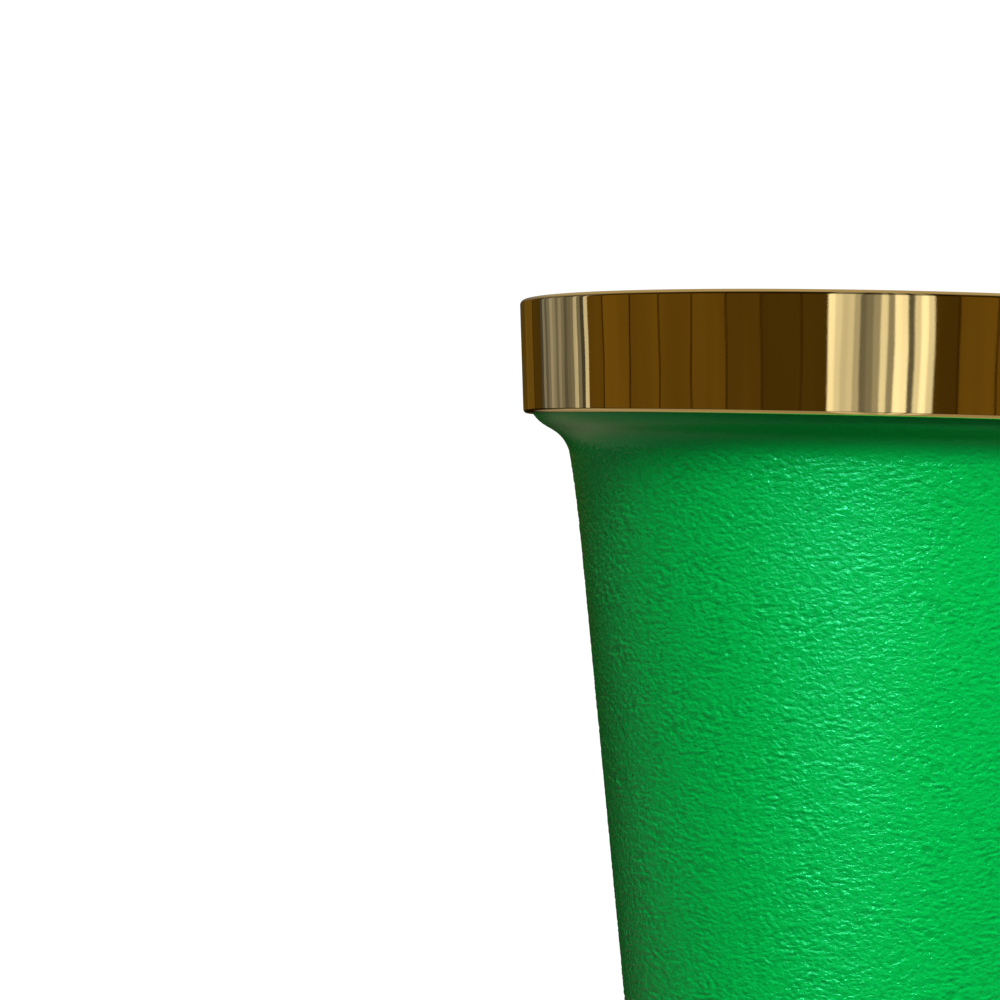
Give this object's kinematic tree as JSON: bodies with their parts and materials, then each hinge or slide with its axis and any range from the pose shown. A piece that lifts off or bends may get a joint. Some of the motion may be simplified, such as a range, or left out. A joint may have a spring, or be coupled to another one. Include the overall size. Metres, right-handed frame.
{
  "type": "florist bucket",
  "caption": "Tapered round bucket with a grained wall, a flared ogee shoulder and a bright metal band closed over its rim, for standing cut stems in water.",
  "frame": {"origin": "centre of the circle that the foot ring stands on, in the plane of the floor", "axes": "+Z is the bucket's axis, from the foot up to the mouth; the bucket is round, so +X and +Y are any two directions square to it"},
  "size_m": [0.1998, 0.1998, 0.3],
  "materials": {
    "green_plastic": "semi-matte moulded plastic, the outside wall with a fine leather grain, the inside smooth",
    "gold_metal": "mirror polished, warm gold"
  },
  "bodies": {
    "root": {"bucket_shell": "green_plastic", "rim_band": "gold_metal"}
  },
  "joints": []
}
